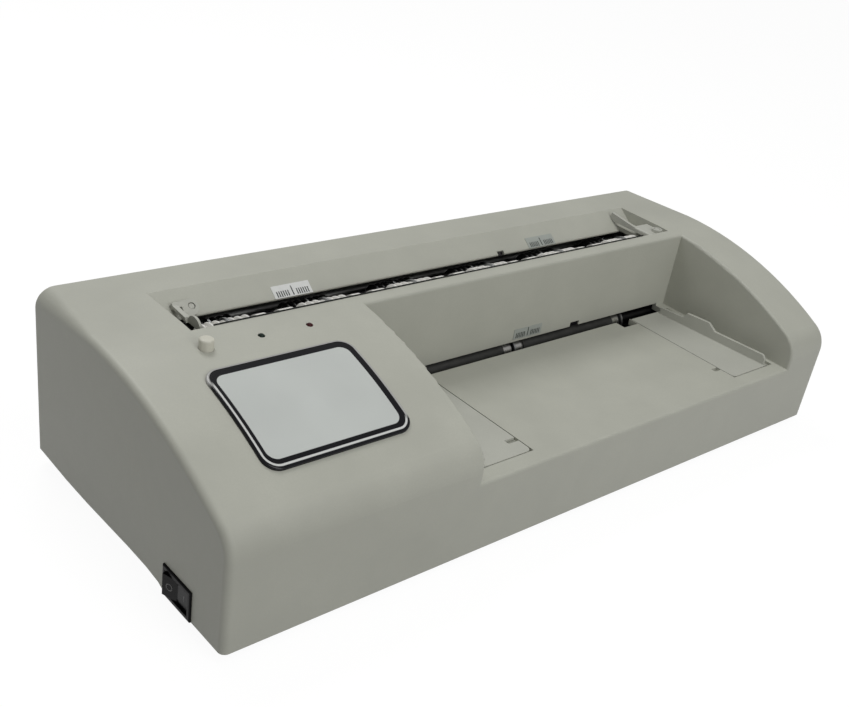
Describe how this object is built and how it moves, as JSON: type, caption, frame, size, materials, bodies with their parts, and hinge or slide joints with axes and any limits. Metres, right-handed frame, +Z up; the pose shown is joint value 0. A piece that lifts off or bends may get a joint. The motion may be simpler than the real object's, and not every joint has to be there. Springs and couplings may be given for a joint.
{
  "type": "business card cutter",
  "caption": "Electric desk cutter: a sheet in the top trough is slit into strips, and a strip fed from the front table is slit into cards.",
  "frame": {"origin": "middle of the case in plan, on the plane the rubber feet stand on", "axes": "+X along the case to the right of a person at the feeding table, +Y to the rear, +Z up"},
  "size_m": [0.4025, 0.1625, 0.092],
  "materials": {
    "case_plastic": "warm light grey, fine satin texture",
    "guide_plastic": "warm light grey, satin",
    "badge_gloss": "pale grey blue, glossy, dark border",
    "button_cream": "cream, satin",
    "lamp_green": "dark green tinted lens",
    "lamp_red": "dark red tinted lens",
    "switch_black": "black, low sheen",
    "inlet_black": "black, fine texture",
    "pin_brass": "bright brass",
    "base_steel": "zinc plated sheet",
    "feet_rubber": "black, matt",
    "screw_steel": "zinc plated",
    "frame_steel": "zinc plated sheet, cut edges",
    "rod_steel": "drawn bar",
    "bush_bronze": "sintered bronze",
    "chute_sheet": "bent galvanised sheet",
    "gearbox_metal": "satin zinc",
    "motor_metal": "black can",
    "shaft_steel": "dark oxide finish",
    "knife_steel": "ground tool steel",
    "wheel_white": "white nylon",
    "wheel_black": "black rubber",
    "roller_grey": "dark grey rubber",
    "collar_steel": "bright turned steel",
    "gear_steel": "cut steel, oiled",
    "gear_nylon": "natural nylon",
    "core_laminations": "varnished laminations",
    "coil_winding": "amber tape over copper",
    "board_green": "green solder mask",
    "component_dark": "moulded component cases",
    "nylon_natural": "natural nylon",
    "sensor_black": "black infrared window",
    "label_film": "thin translucent label film"
  },
  "bodies": {
    "chassis": {"case": "case_plastic", "badge": "badge_gloss", "base_plate": "base_steel", "rubber_feet": "feet_rubber", "base_screws": "screw_steel", "left_side_plate": "frame_steel", "right_side_plate": "frame_steel", "tie_rods": "rod_steel", "frame_screws": "screw_steel", "shaft_bushes": "bush_bronze", "strip_chute": "chute_sheet", "card_chute": "chute_sheet", "gearbox": "gearbox_metal", "motor_can": "motor_metal", "power_switch_body": "switch_black", "power_inlet": "inlet_black", "power_inlet_pins": "pin_brass", "transformer_core": "core_laminations", "transformer_coil": "coil_winding", "control_board": "board_green", "board_standoffs": "nylon_natural", "board_components": "component_dark", "panel_board": "board_green", "panel_board_screws": "screw_steel", "green_lamp": "lamp_green", "red_lamp": "lamp_red", "paper_sensors": "sensor_black", "scale_labels": "label_film"},
    "lower_bottom_roller_shaft": {"lower_bottom_shaft": "shaft_steel", "lower_bottom_knives": "knife_steel", "lower_bottom_rollers": "roller_grey", "lower_bottom_collars": "collar_steel", "lower_bottom_gear": "gear_steel", "drive_gear": "gear_nylon"},
    "lower_top_roller_shaft": {"lower_top_shaft": "shaft_steel", "lower_top_knives": "knife_steel", "lower_top_rollers": "roller_grey", "lower_top_gear": "gear_steel", "transfer_large_gear": "gear_nylon"},
    "upper_front_wheel_shaft": {"upper_front_shaft": "shaft_steel", "upper_front_knives": "knife_steel", "upper_front_wheels": "wheel_white", "upper_front_collars": "collar_steel", "upper_front_gear": "gear_steel", "transfer_small_gear": "gear_nylon"},
    "upper_rear_wheel_shaft": {"upper_rear_shaft": "shaft_steel", "upper_rear_knives": "knife_steel", "upper_rear_wheels": "wheel_black", "upper_rear_gear": "gear_steel"},
    "motor_output": {"motor_pinion": "gear_steel"},
    "switch_rocker": {"power_switch_rocker": "switch_black"},
    "button": {"start_button": "button_cream"},
    "left_trough_guide": {"left_upper_guide": "guide_plastic", "left_upper_guide_screw": "screw_steel"},
    "right_trough_guide": {"right_upper_guide": "guide_plastic", "right_upper_guide_screw": "screw_steel"},
    "left_table_guide": {"left_lower_guide": "guide_plastic", "left_lower_guide_nuts": "nylon_natural"},
    "right_table_guide": {"right_lower_guide": "guide_plastic", "right_lower_guide_nuts": "nylon_natural"}
  },
  "joints": [
    {"name": "lower_bottom_spin", "type": "hinge", "parent": "chassis", "child": "lower_bottom_roller_shaft", "pos_m": [0, 0.01878, 0.03651], "axis": [1, 0, 0], "continuous": true},
    {"name": "lower_top_spin", "type": "hinge", "parent": "chassis", "child": "lower_top_roller_shaft", "pos_m": [0, 0.02402, 0.04949], "axis": [1, 0, 0], "continuous": true},
    {"name": "upper_front_spin", "type": "hinge", "parent": "chassis", "child": "upper_front_wheel_shaft", "pos_m": [0, 0.03065, 0.07566], "axis": [1, 0, 0], "continuous": true},
    {"name": "upper_rear_spin", "type": "hinge", "parent": "chassis", "child": "upper_rear_wheel_shaft", "pos_m": [0, 0.04526, 0.06916], "axis": [1, 0, 0], "continuous": true},
    {"name": "motor_output_spin", "type": "hinge", "parent": "chassis", "child": "motor_output", "pos_m": [0, -0.00222, 0.03651], "axis": [1, 0, 0], "continuous": true},
    {"name": "switch_rock", "type": "hinge", "parent": "chassis", "child": "switch_rocker", "pos_m": [-0.1988, -0.0463, 0.0125], "axis": [0, 0, -1], "range_deg": [0, 18]},
    {"name": "button_press", "type": "slide", "parent": "chassis", "child": "button", "axis": [0, 0, -1], "range_m": [0, 0.0012], "stiffness_N_per_m": 400},
    {"name": "left_trough_guide_slide", "type": "slide", "parent": "chassis", "child": "left_trough_guide", "axis": [-1, 0, 0], "range_m": [0, 0.003]},
    {"name": "right_trough_guide_slide", "type": "slide", "parent": "chassis", "child": "right_trough_guide", "axis": [-1, 0, 0], "range_m": [0, 0.004]},
    {"name": "left_table_guide_slide", "type": "slide", "parent": "chassis", "child": "left_table_guide", "axis": [-1, 0, 0], "range_m": [0, 0.003]},
    {"name": "right_table_guide_slide", "type": "slide", "parent": "chassis", "child": "right_table_guide", "axis": [1, 0, 0], "range_m": [0, 0.003]}
  ],
  "couplings": [
    {"joint": "lower_top_spin", "follows": "lower_bottom_spin", "ratio": -1},
    {"joint": "upper_front_spin", "follows": "lower_bottom_spin", "ratio": 2},
    {"joint": "upper_rear_spin", "follows": "lower_bottom_spin", "ratio": -2},
    {"joint": "motor_output_spin", "follows": "lower_bottom_spin", "ratio": -2}
  ]
}
